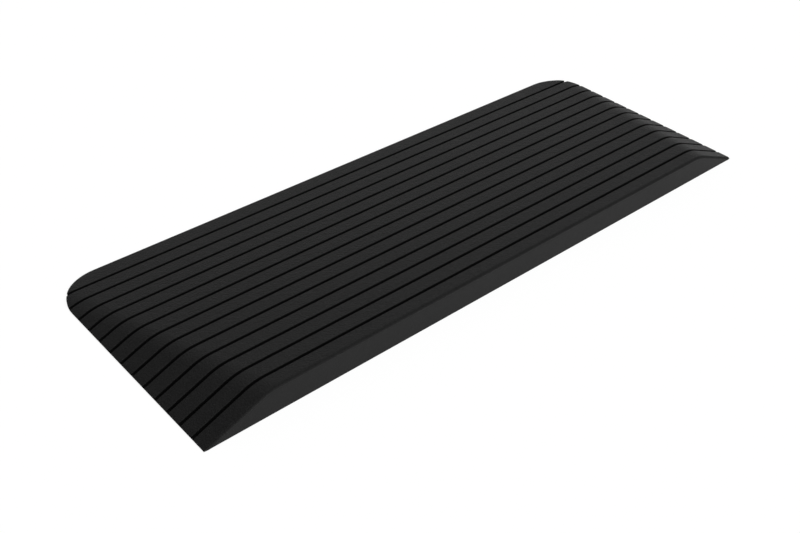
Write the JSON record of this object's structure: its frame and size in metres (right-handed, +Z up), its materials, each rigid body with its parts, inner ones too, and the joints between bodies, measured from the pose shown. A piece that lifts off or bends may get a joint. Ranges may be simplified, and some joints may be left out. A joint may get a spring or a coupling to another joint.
{
  "type": "threshold ramp",
  "caption": "Portable rubber wedge with a grooved tread, sloping ends and soft grip pads below, laid against a door sill for wheelchairs.",
  "frame": {"origin": "centre of the footprint, on the floor that the ramp lies on", "axes": "+X along the ramp's length, +Y from the tall face that stands against the sill towards the low edge, +Z up"},
  "size_m": [1, 0.375, 0.04],
  "materials": {
    "moulded_rubber": "satin, fine moulded grain",
    "grip_rubber": "matt, soft"
  },
  "bodies": {
    "root": {"ramp_body": "moulded_rubber", "grip_pad_tall_side_left_end": "grip_rubber", "grip_pad_tall_side_left": "grip_rubber", "grip_pad_tall_side_right": "grip_rubber", "grip_pad_tall_side_right_end": "grip_rubber", "grip_pad_low_side_left_end": "grip_rubber", "grip_pad_low_side_left": "grip_rubber", "grip_pad_low_side_right": "grip_rubber", "grip_pad_low_side_right_end": "grip_rubber"}
  },
  "joints": []
}
